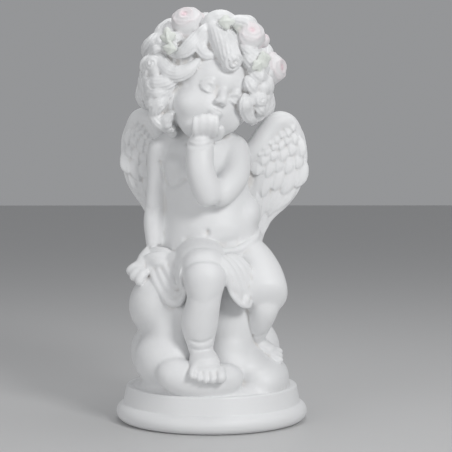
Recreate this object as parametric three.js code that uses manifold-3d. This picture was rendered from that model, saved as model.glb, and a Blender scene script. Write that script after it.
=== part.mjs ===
// A winged child seated on a bank of cloud, cast in one piece with its round plinth.
// Millimetres, +Z up. The origin is the centre of the plinth's underside, and the figure faces -Y.
// The figure keeps its pose and carving as shares of its own height: its places and half-widths are
// counted in units of a 457th of FIGURE_HEIGHT, from the centre of the plinth's top.
import * as THREE from "three";
import { mergeVertices } from "three/addons/utils/BufferGeometryUtils.js";
import Module from "manifold-3d";

const FIGURE_HEIGHT = 457;
const DRUM_HEIGHT = 43;
const DRUM_EDGE_ROUND = 3;
const FOOT_ROLL_RADIUS = 11;
const FOOT_ROLL_REACH = 116;
// How far the drum's foot stands in from the roll's reach, and how much the drum narrows to its top.
const DRUM_INSET = 8.5;
const DRUM_TAPER = 3.5;

const PLINTH_SIDES = 36;
const HEAD_CENTRE = [-3, -10, 355];
const HEAD_YAW = 22;
const HEAD_ROLL = 22;

const wasm = await Module();
wasm.setup();

const unit = FIGURE_HEIGHT / 457;
const figureFrame = new THREE.Matrix4().makeScale(unit, unit, unit).setPosition(0, 0, DRUM_HEIGHT);
const headTurn = new THREE.Matrix4()
  .makeRotationZ(THREE.MathUtils.degToRad(HEAD_YAW))
  .multiply(new THREE.Matrix4().makeRotationY(THREE.MathUtils.degToRad(HEAD_ROLL)));
const headFrame = figureFrame
  .clone()
  .multiply(new THREE.Matrix4().makeTranslation(...HEAD_CENTRE))
  .multiply(headTurn);

// Solids

function solidFrom(geometry, frame = figureFrame) {
  const bare = geometry.clone().applyMatrix4(frame);
  bare.deleteAttribute("normal");
  bare.deleteAttribute("uv");
  const merged = mergeVertices(bare, 1e-3);
  const vertProperties = new Float32Array(merged.attributes.position.array);
  const triVerts = new Uint32Array(merged.index.array);
  return new wasm.Manifold(new wasm.Mesh({ numProp: 3, vertProperties, triVerts }));
}

function joined(solids) {
  return solids.reduce((whole, solid) => whole.add(solid));
}

// An ellipsoid with its half-widths along its own axes, turned by degrees about X, Y and Z.
function ball(centre, halves, { turn = [0, 0, 0], sides = 8, rings = 5, frame = figureFrame } = {}) {
  const geometry = new THREE.SphereGeometry(1, sides, rings);
  geometry.rotateX(Math.PI / 2);
  geometry.scale(...halves);
  const angles = turn.map(THREE.MathUtils.degToRad);
  geometry.applyMatrix4(new THREE.Matrix4().makeRotationFromEuler(new THREE.Euler(...angles)));
  geometry.translate(...centre);
  return solidFrom(geometry, frame);
}

// A round-ended bar swept through stations [x, y, z, half-width]. Its thickness towards `facing` is
// `flat` times its width, and `fullness` says how bluntly its ends close.
function bar(stations, options = {}) {
  const { sides = 6, rings = 6, fullness = 8, flat = 1, facing = [0, -1, 0], frame = figureFrame } = options;
  const path = new THREE.CatmullRomCurve3(stations.map((s) => new THREE.Vector3(s[0], s[1], s[2])));
  const widths = new THREE.CatmullRomCurve3(stations.map((s, i) => new THREE.Vector3(s[3], i, 0)));
  const front = new THREE.Vector3(...facing);
  const geometry = new THREE.SphereGeometry(1, sides, rings);
  const position = geometry.attributes.position;
  const onSphere = new THREE.Vector3();
  for (let i = 0; i < position.count; i++) {
    onSphere.fromBufferAttribute(position, i);
    const along = Math.acos(THREE.MathUtils.clamp(onSphere.y, -1, 1)) / Math.PI;
    const closing = Math.sqrt(Math.max(0, 1 - Math.abs(2 * along - 1) ** fullness));
    const half = widths.getPoint(along).x * closing;
    const angle = Math.atan2(onSphere.z, onSphere.x);
    const tangent = path.getTangent(along);
    const across = new THREE.Vector3().crossVectors(tangent, front).normalize();
    const outward = new THREE.Vector3().crossVectors(across, tangent);
    const point = path.getPoint(along);
    point.addScaledVector(across, half * Math.cos(angle));
    point.addScaledVector(outward, -half * flat * Math.sin(angle));
    position.setXYZ(i, point.x, point.y, point.z);
  }
  return solidFrom(geometry, frame);
}

// Plinth: a slightly tapered drum with a rounded top edge, standing on a half-round roll.

function plinth() {
  const rollCentre = FOOT_ROLL_REACH - FOOT_ROLL_RADIUS;
  const profile = [new THREE.Vector2(0, 0), new THREE.Vector2(rollCentre, 0)];
  const rollSteps = 5;
  const drumTop = FOOT_ROLL_REACH - DRUM_INSET - DRUM_TAPER;
  const meeting = Math.acos(1 - DRUM_INSET / FOOT_ROLL_RADIUS);
  for (let i = 1; i <= rollSteps; i++) {
    const angle = -Math.PI / 2 + (i / rollSteps) * (Math.PI / 2 + meeting);
    profile.push(
      new THREE.Vector2(
        rollCentre + FOOT_ROLL_RADIUS * Math.cos(angle),
        FOOT_ROLL_RADIUS * (1 + Math.sin(angle)),
      ),
    );
  }
  const edgeSteps = 2;
  for (let i = 0; i <= edgeSteps; i++) {
    const angle = (i / edgeSteps) * (Math.PI / 2);
    profile.push(
      new THREE.Vector2(
        drumTop - DRUM_EDGE_ROUND * (1 - Math.cos(angle)),
        DRUM_HEIGHT - DRUM_EDGE_ROUND * (1 - Math.sin(angle)),
      ),
    );
  }
  profile.push(new THREE.Vector2(0, DRUM_HEIGHT));
  const geometry = new THREE.LatheGeometry(profile, PLINTH_SIDES);
  geometry.rotateX(Math.PI / 2);
  return solidFrom(geometry, new THREE.Matrix4());
}

// Cloud: round puffs heaped up to the seat, sunk a little into the plinth.

const PUFFS = [
  { at: [0, 15, 60], half: [62, 56, 92] },
  { at: [-57, -18, 98], half: [43, 46, 42] },
  { at: [-60, -2, 40], half: [38, 46, 40] },
  { at: [-50, -38, 36], half: [42, 44, 38] },
  { at: [-46, -34, 66], half: [34, 36, 44] },
  { at: [60, -15, 10], half: [34, 62, 30] },
  { at: [42, -24, 26], half: [30, 52, 26] },
  { at: [20, -26, 30], half: [36, 50, 42] },
  { at: [20, -26, 84], half: [32, 36, 62] },
  { at: [0, -2, 0], half: [98, 97, 14] },
  { at: [-40, 50, 38], half: [44, 38, 48] },
  { at: [42, 48, 34], half: [44, 42, 46] },
];

const FOOTREST_PUFF = [
  [-62, -70, 24, 18],
  [-42, -80, 22, 22],
  [-12, -84, 15, 20],
  [18, -78, 17, 19],
  [34, -70, 18, 16],
];

function cloud() {
  const puffs = PUFFS.map((puff) => ball(puff.at, puff.half, { sides: 8, rings: 6 }));
  return joined([...puffs, bar(FOOTREST_PUFF, { sides: 8, rings: 8, fullness: 4 })]);
}

// Body: torso, breasts, shoulders and neck.

const TORSO = [
  [0, 8, 116, 42],
  [0, 4, 140, 56],
  [0, 0, 166, 58],
  [0, -3, 194, 56],
  [-4, -1, 226, 51],
  [-10, 2, 260, 50],
  [-14, 5, 290, 46],
  [-14, 6, 308, 26],
];

function torso() {
  return joined([
    bar(TORSO, { sides: 11, rings: 9, fullness: 6, flat: 0.76 }),
    ball([2, -18, 192], [44, 32, 32], { sides: 8, rings: 5 }),
    ball([-37, -16, 266], [22, 20, 20], { sides: 8, rings: 5 }),
    bar([[-62, 4, 284, 15], [-40, 6, 297, 17], [-14, 6, 302, 19], [12, 4, 297, 17], [31, 2, 284, 15]], { sides: 6 }),
    bar([[-14, 6, 290, 24], [-10, 0, 335, 24]], { sides: 8, rings: 3 }),
  ]);
}

// Limbs as bars through their joints.

const ARM_ON_CLOUD = [
  [-56, 6, 300, 12],
  [-61, 4, 284, 17],
  [-66, 2, 250, 12.5],
  [-69, 0, 214, 11.5],
  [-70, -4, 197, 12.5],
  [-70, -8, 172, 10],
  [-70, -9, 160, 9],
];
const UPPER_ARM_TO_CHIN = [
  [20, 6, 300, 12],
  [27, 0, 284, 19],
  [28, -25, 256, 18],
  [14, -50, 236, 17],
  [0, -60, 228, 15],
];
const FOREARM_TO_CHIN = [
  [2, -58, 222, 13],
  [-4, -63, 234, 17],
  [-13, -68, 262, 17],
  [-13, -65, 290, 16],
  [-11, -62, 304, 13],
];
const LEG_DOWN_THIGH = [
  [-14, 8, 148, 30],
  [-12, -30, 148, 31],
  [-9, -68, 144, 28],
  [-8, -90, 139, 24],
];
const LEG_DOWN_SHIN = [
  [-8, -86, 154, 20],
  [-8, -92, 138, 25.5],
  [-9, -93, 112, 20],
  [-14, -84, 84, 22],
  [-13, -80, 58, 16],
  [-12, -78, 42, 15],
];
const LEG_BACK_THIGH = [
  [22, 14, 150, 30],
  [38, -8, 150, 33],
  [54, -34, 134, 31],
  [63, -58, 114, 28],
  [66, -70, 105, 22],
];
const LEG_BACK_SHIN = [
  [68, -68, 106, 18],
  [64, -62, 97, 18],
  [58, -46, 80, 14.5],
  [55, -28, 63, 10.5],
  [55, -16, 52, 10],
];

function limbs() {
  return joined([
    bar(ARM_ON_CLOUD, { sides: 7, rings: 7 }),
    bar(UPPER_ARM_TO_CHIN, { sides: 8, rings: 6, facing: [0, -0.6, 0.8] }),
    bar(FOREARM_TO_CHIN, { sides: 8, rings: 7 }),
    bar(LEG_DOWN_THIGH, { sides: 8, rings: 5, facing: [0, 0, 1] }),
    bar(LEG_DOWN_SHIN, { sides: 8, rings: 8 }),
    bar(LEG_BACK_THIGH, { sides: 9, rings: 6, facing: [0.6, 0, 0.8] }),
    bar(LEG_BACK_SHIN, { sides: 7, rings: 6, facing: [1, 0, 0] }),
  ]);
}

// Hands: one pressed on the cloud, one closed under the chin.

const FINGERS_ON_CLOUD = [
  [[-82, -20, 146, 6], [-93, -24, 143, 6.5], [-102, -24, 134, 6]],
  [[-82, -28, 140, 5.5], [-92, -33, 135, 6], [-97, -33, 125, 5.5]],
  [[-77, -33, 138, 5.5], [-84, -40, 131, 5.5], [-87, -42, 120, 5]],
];
const FINGERS_AT_CHIN = [-14, -6, 2];

function hands() {
  const finger = { sides: 5, rings: 3 };
  return joined([
    bar([[-70, -8, 166, 10], [-76, -17, 151, 14], [-84, -26, 142, 11]], { flat: 0.75, rings: 5 }),
    ...FINGERS_ON_CLOUD.map((stations) => bar(stations, finger)),
    bar([[-11, -62, 298, 13], [-8, -64, 312, 16], [-6, -64, 326, 12]], { rings: 5, flat: 0.9 }),
    ...FINGERS_AT_CHIN.map((x) => bar([[x, -74, 306, 4.5], [x, -82, 318, 5], [x, -74, 328, 4.5]], finger)),
  ]);
}

// Feet: one on the front puff, one tucked back on the right of the cloud.

const TOES_DOWN = [
  { x: -22, z: 29, half: 4.6 },
  { x: -14.5, z: 26, half: 4.8 },
  { x: -7, z: 24, half: 5 },
  { x: 0.5, z: 24, half: 5.2 },
  { x: 10, z: 25, half: 7.2 },
];
const TOES_BACK = [
  { y: -20, z: 45 },
  { y: -28, z: 41 },
  { y: -36, z: 37 },
];

function feet() {
  const toe = { sides: 5, rings: 3, facing: [0, 0, 1] };
  return joined([
    bar([[-12, -74, 46, 15], [-9, -88, 37, 19], [-5, -102, 28, 21]], { sides: 7, flat: 0.6, facing: [0, -0.4, 0.9] }),
    ...TOES_DOWN.map((t) => bar([[t.x, -98, t.z + 3, t.half], [t.x, -115, t.z - 4, t.half]], toe)),
    bar([[55, -12, 55, 10], [63, -22, 48, 13], [76, -28, 41, 13]], { flat: 0.6, facing: [0, 0, 1] }),
    ...TOES_BACK.map((t) => bar([[70, t.y + 2, t.z + 1, 5], [86, t.y - 2, t.z - 5, 4.6]], toe)),
  ]);
}

// Head and a plain child's face, in the head's own frame.

function head() {
  const frame = headFrame;
  const detail = { sides: 6, rings: 4, frame };
  return joined([
    ball([0, 4, 12], [50, 56, 50], { sides: 8, rings: 5, frame }),
    ball([0, -8, -22], [42, 40, 37], { sides: 9, rings: 5, frame }),
    ball([-20, -17, -26], [23, 22, 21], { sides: 8, rings: 5, frame }),
    ball([20, -17, -26], [23, 22, 21], { sides: 8, rings: 5, frame }),
    ball([0, -34, -47], [13, 12, 11], detail),
    bar([[0, -40, 4, 6], [0, -46, -7, 7.5], [0, -52, -15, 8.5]], { sides: 5, rings: 4, frame }),
    bar([[-10, -41, -29, 5], [0, -46, -29, 7], [10, -41, -29, 5]], { sides: 5, rings: 4, frame }),
    ball([-17, -40, -4], [9, 8, 6], detail),
    ball([17, -40, -4], [9, 8, 6], detail),
    ball([-47, 0, -14], [7, 9, 13], detail),
  ]);
}

// Hair: full masses, and locks laid on them, each a flat bar that may end in a coil.

const HAIR_MASSES = [
  { at: [-5, 5, 381], half: [69, 58, 64] },
  { at: [-48, -6, 362], half: [29, 40, 50] },
  { at: [40, -2, 366], half: [28, 40, 46] },
  { at: [6, -10, 414], half: [54, 42, 31] },
];
const HAIR_CENTRE = new THREE.Vector3(-5, 0, 379);
const HAIR_HALF = new THREE.Vector3(73, 55, 66);

// The point of the hair's shell in front (side -1) or behind (side 1) at x and z, raised by lift.
// Places outside the shell's outline slide in to its rim.
function onHair(x, z, lift, side = -1) {
  let u = (x - HAIR_CENTRE.x) / HAIR_HALF.x;
  let w = (z - HAIR_CENTRE.z) / HAIR_HALF.z;
  const reach = Math.max(1, Math.hypot(u, w) / 0.98);
  u /= reach;
  w /= reach;
  const depth = Math.sqrt(1 - u * u - w * w);
  const local = new THREE.Vector3(u, side * depth, w);
  const point = local.clone().multiply(HAIR_HALF).add(HAIR_CENTRE);
  const outward = local.divide(HAIR_HALF).normalize();
  return { point: point.addScaledVector(outward, lift), outward };
}

// A lock through [x, z, half-width] places, with a coil of that radius at its last place.
function lock({ places, coil = 0, lift = 0, side = -1 }) {
  const stations = places.map(([x, z, half]) => {
    const { point } = onHair(x, z, lift, side);
    return [point.x, point.y, point.z, half];
  });
  const [x, z] = places.at(-1);
  const { point, outward } = onHair(x, z, lift, side);
  const pieces = [bar(stations, { sides: 5, rings: 4, fullness: 3, facing: outward.toArray() })];
  if (coil > 0) {
    pieces.push(ball(point.toArray(), [coil, coil, coil], { sides: 6, rings: 3 }));
  }
  return joined(pieces);
}

const FRONT_LOCKS = [
  { places: [[3, 428, 10], [14, 414, 14], [21, 398, 15], [30, 384, 13]], coil: 13, lift: 3 },
  { places: [[4, 427, 7], [-9, 417, 7], [-12, 405, 7], [-2, 396, 5]] },
  { places: [[-16, 424, 8], [-23, 408, 10], [-33, 397, 10], [-43, 396, 7]] },
  { places: [[-18, 392, 6], [-33, 378, 8], [-47, 380, 9], [-60, 394, 9]] },
  { places: [[-58, 398, 8], [-72, 392, 9], [-70, 382, 8]], coil: 11 },
  { places: [[-38, 374, 6], [-56, 364, 10], [-74, 364, 9]] },
  { places: [[-52, 360, 6], [-66, 352, 9], [-76, 346, 8]], coil: 8 },
  { places: [[-44, 338, 6], [-58, 340, 9], [-66, 330, 9], [-58, 320, 7]] },
  { places: [[-38, 326, 7], [-50, 320, 8], [-48, 310, 8]] },
  { places: [[36, 402, 8], [46, 394, 10], [58, 384, 9]] },
  { places: [[42, 390, 7], [48, 376, 8], [58, 370, 7]] },
  { places: [[52, 366, 7], [62, 360, 10], [67, 370, 8]] },
  { places: [[42, 354, 8], [50, 346, 10], [58, 342, 9]], coil: 9 },
  { places: [[38, 346, 8], [36, 330, 11], [44, 322, 10]] },
  { places: [[-8, 430, 9], [4, 440, 10], [18, 442, 10], [32, 436, 8]] },
];
const BACK_ROWS = [
  { z: 410, xs: [-40, -4, 32], half: 14 },
  { z: 374, xs: [-48, 0, 46], half: 15 },
  { z: 338, xs: [-40, -5, 30], half: 13 },
];

function hair() {
  const masses = HAIR_MASSES.map((mass) => ball(mass.at, mass.half, { sides: 8, rings: 5 }));
  const front = FRONT_LOCKS.map(lock);
  const back = BACK_ROWS.flatMap(({ z, xs, half }, row) =>
    xs.map((x) => {
      const swing = row % 2 ? 10 : -10;
      return lock({ places: [[x - swing, z + 18, half - 4], [x, z, half], [x + swing, z - 18, half - 2]], side: 1 });
    }),
  );
  return joined([...masses, ...front, ...back]);
}

// Garland: roses and leaves round the hair.

const ROSES = [
  { at: [-28, -25, 435], radius: 20, axis: [-0.25, -0.7, 0.65] },
  { at: [46, -31, 419], radius: 18, axis: [0.15, -0.8, 0.55] },
  { at: [71, 0, 382], radius: 20, axis: [1, -0.1, 0.1] },
  { at: [61, -14, 415], radius: 10, axis: [0.8, -0.3, 0.5] },
  { at: [34, 46, 418], radius: 17, axis: [0.4, 0.7, 0.6] },
  { at: [-38, 46, 416], radius: 17, axis: [-0.4, 0.7, 0.6] },
];

const ROSE_PROFILE = [
  [0, -0.8], [0.7, -0.6], [1, 0.1], [0.86, 0.5], [0.72, 0.36], [0.56, 0.76], [0.3, 0.62], [0, 0.86],
];
const PETALS = 3;
const PETAL_SWELL = 0.07;

// A cup with a rolled lip round a closed heart, swelled into petals.
function rose({ at, radius, axis }) {
  const up = new THREE.Vector3(...axis).normalize();
  const tilt = new THREE.Quaternion().setFromUnitVectors(new THREE.Vector3(0, 0, 1), up);
  const frame = figureFrame
    .clone()
    .multiply(new THREE.Matrix4().makeTranslation(...at))
    .multiply(new THREE.Matrix4().makeRotationFromQuaternion(tilt));
  const profile = ROSE_PROFILE.map(([r, z]) => new THREE.Vector2(r * radius, z * radius));
  const geometry = new THREE.LatheGeometry(profile, 3 * PETALS);
  geometry.rotateX(Math.PI / 2);
  const position = geometry.attributes.position;
  for (let i = 0; i < position.count; i++) {
    const angle = Math.atan2(position.getY(i), position.getX(i));
    const swell = 1 + PETAL_SWELL * Math.cos(PETALS * angle);
    position.setXYZ(i, position.getX(i) * swell, position.getY(i) * swell, position.getZ(i));
  }
  return solidFrom(geometry, frame);
}

const LEAVES = [
  [[-40, -30, 428, 7], [-54, -24, 416, 12], [-62, -18, 400, 7]],
  [[2, -34, 432, 6], [16, -36, 436, 9], [30, -32, 430, 6]],
  [[52, -32, 408, 6], [62, -26, 398, 10], [68, -18, 384, 6]],
];

function garland() {
  const leaf = { sides: 4, rings: 3, fullness: 2, flat: 0.5 };
  return joined([...ROSES.map(rose), ...LEAVES.map((stations) => bar(stations, leaf))]);
}

// Wings: a blade of the wing's outline, a rolled leading edge and rows of feathers that fan from it.

const WING_ROOT_DEPTH = 22;
const WING_SWEEP = 0.24;
const BLADE_THICKNESS = 9;
const RIGHT_WING = {
  outline: [
    [30, 262], [44, 292], [57, 301], [65, 315], [73, 327], [85, 331], [97, 328], [107, 316], [115, 302],
    [120, 275], [116, 254], [110, 235], [97, 218], [85, 207], [72, 197], [63, 182], [60, 168], [40, 196],
  ],
  roll: [[34, 268, 14], [56, 286, 15], [68, 304, 14], [80, 317, 14], [93, 316, 13], [104, 303, 10], [112, 284, 6]],
  tips: [[60, 168], [72, 198], [97, 218], [110, 235], [119, 262]],
};
const LEFT_WING = {
  outline: [
    [-34, 262], [-52, 296], [-62, 318], [-72, 334], [-86, 336], [-97, 330], [-105, 316], [-111, 300],
    [-112, 278], [-110, 262], [-106, 244], [-98, 230], [-89, 219], [-80, 206], [-60, 196], [-44, 206],
  ],
  roll: [[-38, 268, 14], [-56, 290, 15], [-66, 310, 14], [-76, 322, 13], [-89, 322, 12], [-99, 308, 9], [-106, 288, 6]],
  tips: [[-56, 196], [-80, 207], [-98, 230], [-106, 245], [-111, 270]],
};
const FEATHER_ROWS = [
  { from: 0.1, to: 0.4, bulge: 0.08, count: 4, proud: 9 },
  { from: 0.3, to: 0.62, bulge: 0.08, count: 5, proud: 6 },
  { from: 0.5, to: 0.86, bulge: 0.1, count: 6, proud: 3 },
];
const FEATHER_TIP_STEPS = 3;

function wingDepth(x) {
  return WING_ROOT_DEPTH + WING_SWEEP * (Math.abs(x) - 40);
}

function curveAt(places, t) {
  return new THREE.SplineCurve(places.map((p) => new THREE.Vector2(p[0], p[1]))).getPoint(t);
}

// A plate of that outline, its face that far in front of the wing's middle.
function plate(outline, face, thickness) {
  const shape = new THREE.Shape(outline.map((p) => new THREE.Vector2(p[0], p[1])));
  const geometry = new THREE.ExtrudeGeometry(shape, { depth: thickness, bevelEnabled: false });
  geometry.rotateX(Math.PI / 2);
  const position = geometry.attributes.position;
  for (let i = 0; i < position.count; i++) {
    position.setY(i, position.getY(i) + thickness - face + wingDepth(position.getX(i)));
  }
  return solidFrom(geometry);
}

// The outline of one row of overlapping feathers, scalloped by their round tips.
function featherRow({ roll, tips }, row) {
  const place = (t, share) => curveAt(roll, t).lerp(curveAt(tips, t), share).toArray();
  const steps = row.count * FEATHER_TIP_STEPS;
  const lower = [];
  for (let i = 0; i <= steps; i++) {
    const round = Math.abs(Math.sin((Math.PI * i) / FEATHER_TIP_STEPS)) ** 0.6;
    lower.push(place(0.04 + (0.92 * i) / steps, row.to - row.bulge + row.bulge * round));
  }
  const upper = [];
  for (let i = row.count; i >= 0; i--) {
    upper.push(place(0.04 + (0.92 * i) / row.count, row.from));
  }
  return [...lower, ...upper];
}

function wing(form) {
  const rollStations = form.roll.map(([x, z, half]) => [x, wingDepth(x) + 4, z, half]);
  return joined([
    plate(form.outline, 0, BLADE_THICKNESS),
    bar(rollStations, { sides: 7, rings: 7, fullness: 6, flat: 0.8 }),
    ...FEATHER_ROWS.map((row) => plate(featherRow(form, row), row.proud, row.proud + 3)),
  ]);
}

// Cloth: laid over the lap, rolled at its hem over the knee and gathered under the hand.

const FOLDS = [
  [[10, -84, 158, 7], [18, -86, 142, 8], [28, -82, 124, 8], [40, -74, 106, 5]],
  [[16, -78, 164, 7], [28, -77, 148, 8], [37, -73, 132, 7], [44, -69, 119, 5]],
  [[-70, -30, 146, 7], [-62, -50, 126, 7], [-46, -66, 110, 7.5], [-30, -78, 122, 7]],
  [[-58, -30, 152, 7], [-50, -46, 140, 7], [-41, -58, 128, 7.5], [-30, -66, 138, 7]],
  [[-88, -12, 150, 8], [-68, -26, 158, 9], [-48, -34, 156, 8]],
  [[2, -50, 160, 8], [30, -44, 158, 8], [52, -22, 170, 8], [59, 8, 184, 8]],
  [[58, 2, 184, 9], [44, 33, 176, 9], [2, 46, 168, 9], [-40, 34, 164, 9], [-56, 0, 161, 9]],
];

function cloth() {
  const hem = new THREE.TorusGeometry(29, 4, 4, 12);
  hem.rotateX(THREE.MathUtils.degToRad(72));
  hem.translate(-8.5, -77, 137);
  return joined([
    bar([[-14, 6, 149, 33], [-12, -36, 149, 34], [-9, -78, 142, 28]], { sides: 10, rings: 5, facing: [0, 0, 1] }),
    solidFrom(hem),
    ...FOLDS.map((stations) => bar(stations, { sides: 5, rings: 5, fullness: 4 })),
    bar([[-56, -20, 150, 12], [-32, -42, 152, 13], [-4, -48, 155, 13]], { rings: 5 }),
  ]);
}

function statue() {
  const figure = [torso(), limbs(), hands(), feet(), head(), hair(), garland(), wing(RIGHT_WING), wing(LEFT_WING)];
  return joined([plinth(), cloud(), cloth(), ...figure]);
}

// A casting holds no sealed bubbles: a shell of triangles that faces inwards is filled, by leaving it out.
function filled(corners, triangles) {
  const shellOf = Int32Array.from({ length: corners.length / 3 }, (_, i) => i);
  const root = (i) => {
    while (shellOf[i] !== i) {
      shellOf[i] = shellOf[shellOf[i]];
      i = shellOf[i];
    }
    return i;
  };
  for (let i = 0; i < triangles.length; i += 3) {
    const shell = root(triangles[i]);
    shellOf[root(triangles[i + 1])] = shell;
    shellOf[root(triangles[i + 2])] = shell;
  }
  const volumes = new Map();
  const [a, b, c] = [new THREE.Vector3(), new THREE.Vector3(), new THREE.Vector3()];
  for (let i = 0; i < triangles.length; i += 3) {
    [a, b, c].forEach((corner, n) => corner.fromArray(corners, 3 * triangles[i + n]));
    const shell = root(triangles[i]);
    volumes.set(shell, (volumes.get(shell) ?? 0) + a.dot(b.cross(c)) / 6);
  }
  const kept = [];
  for (let i = 0; i < triangles.length; i += 3) {
    if (volumes.get(root(triangles[i])) > 0) {
      kept.push(triangles[i], triangles[i + 1], triangles[i + 2]);
    }
  }
  return new Uint32Array(kept);
}

function meshOf(name, solid, material) {
  const made = solid.getMesh();
  const geometry = new THREE.BufferGeometry();
  geometry.setAttribute("position", new THREE.BufferAttribute(new Float32Array(made.vertProperties), 3));
  geometry.setIndex(new THREE.BufferAttribute(filled(made.vertProperties, made.triVerts), 1));
  geometry.computeVertexNormals();
  const mesh = new THREE.Mesh(geometry, material);
  mesh.name = name;
  return mesh;
}

const castStone = new THREE.MeshStandardMaterial({ color: 0xe9e9e7, roughness: 0.62, metalness: 0 });

const group = new THREE.Group();
group.add(meshOf("putto_statue", statue(), castStone));

export default group;
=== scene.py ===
"""A seated putto on a bank of cloud, cast in white marble dust in one piece with its round plinth."""
import math

import bmesh
import bpy
import numpy as np
from mathutils import Euler, Matrix, Vector
from mathutils.bvhtree import BVHTree
from mathutils.kdtree import KDTree


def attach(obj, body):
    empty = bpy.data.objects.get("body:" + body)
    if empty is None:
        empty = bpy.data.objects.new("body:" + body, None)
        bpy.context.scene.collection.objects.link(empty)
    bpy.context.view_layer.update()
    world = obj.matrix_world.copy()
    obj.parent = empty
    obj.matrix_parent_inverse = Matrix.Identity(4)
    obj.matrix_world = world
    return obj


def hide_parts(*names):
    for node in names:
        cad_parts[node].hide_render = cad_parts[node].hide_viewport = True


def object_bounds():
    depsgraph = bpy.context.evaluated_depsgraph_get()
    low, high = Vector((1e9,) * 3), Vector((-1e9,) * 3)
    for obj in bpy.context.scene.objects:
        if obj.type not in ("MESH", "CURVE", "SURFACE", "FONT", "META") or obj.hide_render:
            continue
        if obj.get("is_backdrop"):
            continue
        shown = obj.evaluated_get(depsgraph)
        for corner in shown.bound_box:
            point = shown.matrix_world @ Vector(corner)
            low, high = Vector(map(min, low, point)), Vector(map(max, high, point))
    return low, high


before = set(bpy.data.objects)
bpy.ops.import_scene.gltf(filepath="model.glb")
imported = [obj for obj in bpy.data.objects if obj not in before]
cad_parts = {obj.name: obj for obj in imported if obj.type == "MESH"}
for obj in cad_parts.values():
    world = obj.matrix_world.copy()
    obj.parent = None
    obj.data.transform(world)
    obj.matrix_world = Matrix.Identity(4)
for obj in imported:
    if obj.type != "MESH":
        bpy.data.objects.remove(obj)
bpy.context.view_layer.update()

# Plinth
# A round drum with a softened top edge, standing on a half-round foot roll. It is turned smooth in
# the model that the mould was taken from, and cast in one with the figure. Sizes are in millimetres.
MM = 0.001
DRUM_HEIGHT = 43.0
DRUM_TOP_RADIUS = 104.0
DRUM_FOOT_RADIUS = 107.5
DRUM_EDGE_ROUND = 3.0
FOOT_ROLL_RADIUS = 11.0
FOOT_ROLL_REACH = 116.0
SEAM_ROUND = 0.5
PLINTH_SIDES = 160
# Rings of the profile this close to an edge keep its shading crisp.
EDGE_HOLD = 0.6
EDGE_TAPER = 0.1


def arc(centre, radius, start, end, steps):
    """Points (radius from the axis, height) of an arc, its angles in degrees."""
    angles = np.radians(np.linspace(start, end, steps))
    return [(centre[0] + radius * math.cos(a), centre[1] + radius * math.sin(a)) for a in angles]


roll_centre = (FOOT_ROLL_REACH - FOOT_ROLL_RADIUS, FOOT_ROLL_RADIUS)
meeting = math.degrees(math.acos((DRUM_FOOT_RADIUS + SEAM_ROUND - roll_centre[0]) / FOOT_ROLL_RADIUS))
drum_foot = roll_centre[1] + FOOT_ROLL_RADIUS * math.sin(math.radians(meeting)) + SEAM_ROUND
edge_centre = (DRUM_TOP_RADIUS - DRUM_EDGE_ROUND, DRUM_HEIGHT - DRUM_EDGE_ROUND)
plinth_profile = (
    [(0.0, 0.0)]
    + arc(roll_centre, FOOT_ROLL_RADIUS, -90, meeting, 16)
    + [(DRUM_FOOT_RADIUS, drum_foot), (DRUM_FOOT_RADIUS - EDGE_TAPER, drum_foot + EDGE_HOLD)]
    + [(DRUM_TOP_RADIUS + EDGE_TAPER, edge_centre[1] - EDGE_HOLD)]
    + arc(edge_centre, DRUM_EDGE_ROUND, 0, 90, 8)
    + [(edge_centre[0] - EDGE_HOLD, DRUM_HEIGHT), (0.0, DRUM_HEIGHT)]
)
bm = bmesh.new()
verts = [bm.verts.new((r, 0, z)) for r, z in plinth_profile]
edges = [bm.edges.new(pair) for pair in zip(verts, verts[1:])]
bmesh.ops.spin(
    bm, geom=verts + edges, cent=(0, 0, 0), axis=(0, 0, 1), angle=2 * math.pi,
    steps=PLINTH_SIDES, use_merge=True, use_duplicate=False,
)
bmesh.ops.remove_doubles(bm, verts=bm.verts, dist=0.01)
bmesh.ops.recalc_face_normals(bm, faces=bm.faces)
plinth_mesh = bpy.data.meshes.new("plinth_turned")
bm.to_mesh(plinth_mesh)
bm.free()

# Cloud
# Round puffs heaped up to a seat, modelled as clay balls pressed together, with the creases between
# them softened by a thumb. All places from here on are in millimetres from the centre of the
# plinth's top, as modelled, and the whole figure is scaled to its height when it is cast.
FIGURE_HEIGHT = 457.0
MODELLED_HEIGHT = 457.0
UNIT = FIGURE_HEIGHT / MODELLED_HEIGHT
# Each puff: its middle and its half sizes.
PUFFS = [
    ((0, 15, 60), (62, 56, 92)),
    ((-57, -18, 98), (43, 46, 42)),
    ((-30, -28, 92), (36, 42, 46)),
    ((-60, -2, 40), (39, 46, 40)),
    ((-50, -38, 36), (43, 45, 39)),
    ((-46, -34, 66), (34, 38, 46)),
    ((60, -15, 10), (34, 62, 30)),
    ((42, -24, 26), (30, 52, 26)),
    ((20, -26, 30), (36, 50, 42)),
    ((20, -26, 84), (33, 37, 80)),
    ((0, -2, -4), (99, 98, 20)),
    ((-40, 50, 38), (44, 38, 48)),
    ((42, 48, 34), (44, 42, 46)),
]
# The long puff under the front foot: places along it, each with the puff's half-width there.
FOOTREST_PUFF = [
    (-64, -74, 22, 18), (-44, -83, 23, 22), (-12, -86, 14, 19), (18, -82, 18, 20), (36, -74, 20, 17),
]
CLOUD_VOXEL = 3.0
CLOUD_SOFTENING = 14
FOOTREST_VOXEL = 2.4
FOOTREST_SOFTENING = 4


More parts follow.
